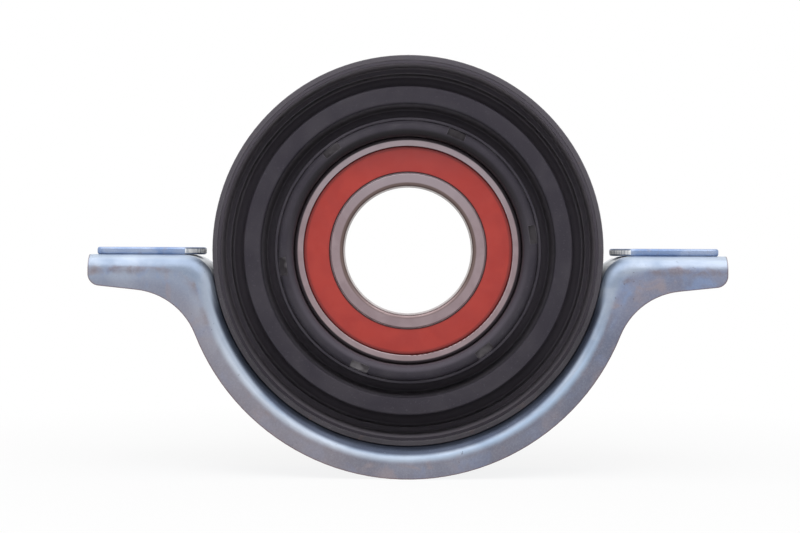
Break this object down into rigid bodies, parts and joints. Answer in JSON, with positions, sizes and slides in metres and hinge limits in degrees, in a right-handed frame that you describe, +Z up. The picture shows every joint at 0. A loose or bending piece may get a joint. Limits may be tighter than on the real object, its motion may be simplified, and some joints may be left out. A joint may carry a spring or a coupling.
{
  "type": "driveshaft centre bearing",
  "caption": "Sealed ball bearing in a black rubber bellows, carried by a zinc-plated U-shaped strap with slotted ears, to hold the middle of a driveshaft under a vehicle floor.",
  "frame": {"origin": "middle of the bearing, on its axis", "axes": "+Y along the bearing axis towards the back of the part, +X along the ears, +Z up"},
  "size_m": [0.1714, 0.03, 0.114],
  "materials": {
    "zinc_plate": "bright zinc plate with a faint blue tint",
    "black_steel": "satin black coating",
    "black_rubber": "moulded, dull",
    "red_rubber": "moulded, dull brick red",
    "bearing_steel": "ground",
    "cage_steel": "pressed sheet"
  },
  "bodies": {
    "support": {"bracket": "zinc_plate", "ear_plate_left": "zinc_plate", "ear_plate_right": "zinc_plate", "outer_shell": "black_steel", "rubber_cushion": "black_rubber", "inner_sleeve": "black_steel", "outer_race": "bearing_steel", "seal_front": "red_rubber", "seal_rear": "red_rubber"},
    "shaft_ring": {"inner_race": "bearing_steel"},
    "ball_cage": {"cage_front": "cage_steel", "cage_rear": "cage_steel", "cage_rivets": "cage_steel"},
    "roller_1": {"ball_1": "bearing_steel"},
    "roller_2": {"ball_2": "bearing_steel"},
    "roller_3": {"ball_3": "bearing_steel"},
    "roller_4": {"ball_4": "bearing_steel"},
    "roller_5": {"ball_5": "bearing_steel"},
    "roller_6": {"ball_6": "bearing_steel"},
    "roller_7": {"ball_7": "bearing_steel"},
    "roller_8": {"ball_8": "bearing_steel"},
    "roller_9": {"ball_9": "bearing_steel"},
    "roller_10": {"ball_10": "bearing_steel"},
    "roller_11": {"ball_11": "bearing_steel"}
  },
  "joints": [
    {"name": "inner_race_spin", "type": "hinge", "parent": "support", "child": "shaft_ring", "pos_m": [0, 0, 0], "axis": [0, 1, 0], "continuous": true},
    {"name": "cage_orbit", "type": "hinge", "parent": "support", "child": "ball_cage", "pos_m": [0, 0, 0], "axis": [0, 1, 0], "continuous": true},
    {"name": "ball_1_roll", "type": "hinge", "parent": "ball_cage", "child": "roller_1", "pos_m": [-0.01311, 0, 0.0204], "axis": [0, 1, 0], "continuous": true},
    {"name": "ball_2_roll", "type": "hinge", "parent": "ball_cage", "child": "roller_2", "pos_m": [-0.02206, 0, 0.01007], "axis": [0, 1, 0], "continuous": true},
    {"name": "ball_3_roll", "type": "hinge", "parent": "ball_cage", "child": "roller_3", "pos_m": [-0.024, 0, -0.00345], "axis": [0, 1, 0], "continuous": true},
    {"name": "ball_4_roll", "type": "hinge", "parent": "ball_cage", "child": "roller_4", "pos_m": [-0.01833, 0, -0.01588], "axis": [0, 1, 0], "continuous": true},
    {"name": "ball_5_roll", "type": "hinge", "parent": "ball_cage", "child": "roller_5", "pos_m": [-0.00683, 0, -0.02327], "axis": [0, 1, 0], "continuous": true},
    {"name": "ball_6_roll", "type": "hinge", "parent": "ball_cage", "child": "roller_6", "pos_m": [0.00683, 0, -0.02327], "axis": [0, 1, 0], "continuous": true},
    {"name": "ball_7_roll", "type": "hinge", "parent": "ball_cage", "child": "roller_7", "pos_m": [0.01833, 0, -0.01588], "axis": [0, 1, 0], "continuous": true},
    {"name": "ball_8_roll", "type": "hinge", "parent": "ball_cage", "child": "roller_8", "pos_m": [0.024, 0, -0.00345], "axis": [0, 1, 0], "continuous": true},
    {"name": "ball_9_roll", "type": "hinge", "parent": "ball_cage", "child": "roller_9", "pos_m": [0.02206, 0, 0.01007], "axis": [0, 1, 0], "continuous": true},
    {"name": "ball_10_roll", "type": "hinge", "parent": "ball_cage", "child": "roller_10", "pos_m": [0.01311, 0, 0.0204], "axis": [0, 1, 0], "continuous": true},
    {"name": "ball_11_roll", "type": "hinge", "parent": "ball_cage", "child": "roller_11", "pos_m": [0, 0, 0.02425], "axis": [0, 1, 0], "continuous": true}
  ],
  "couplings": [
    {"joint": "cage_orbit", "follows": "inner_race_spin", "ratio": 0.41817},
    {"joint": "ball_1_roll", "follows": "inner_race_spin", "ratio": -2.9731},
    {"joint": "ball_2_roll", "follows": "inner_race_spin", "ratio": -2.9731},
    {"joint": "ball_3_roll", "follows": "inner_race_spin", "ratio": -2.9731},
    {"joint": "ball_4_roll", "follows": "inner_race_spin", "ratio": -2.9731},
    {"joint": "ball_5_roll", "follows": "inner_race_spin", "ratio": -2.9731},
    {"joint": "ball_6_roll", "follows": "inner_race_spin", "ratio": -2.9731},
    {"joint": "ball_7_roll", "follows": "inner_race_spin", "ratio": -2.9731},
    {"joint": "ball_8_roll", "follows": "inner_race_spin", "ratio": -2.9731},
    {"joint": "ball_9_roll", "follows": "inner_race_spin", "ratio": -2.9731},
    {"joint": "ball_10_roll", "follows": "inner_race_spin", "ratio": -2.9731},
    {"joint": "ball_11_roll", "follows": "inner_race_spin", "ratio": -2.9731}
  ]
}
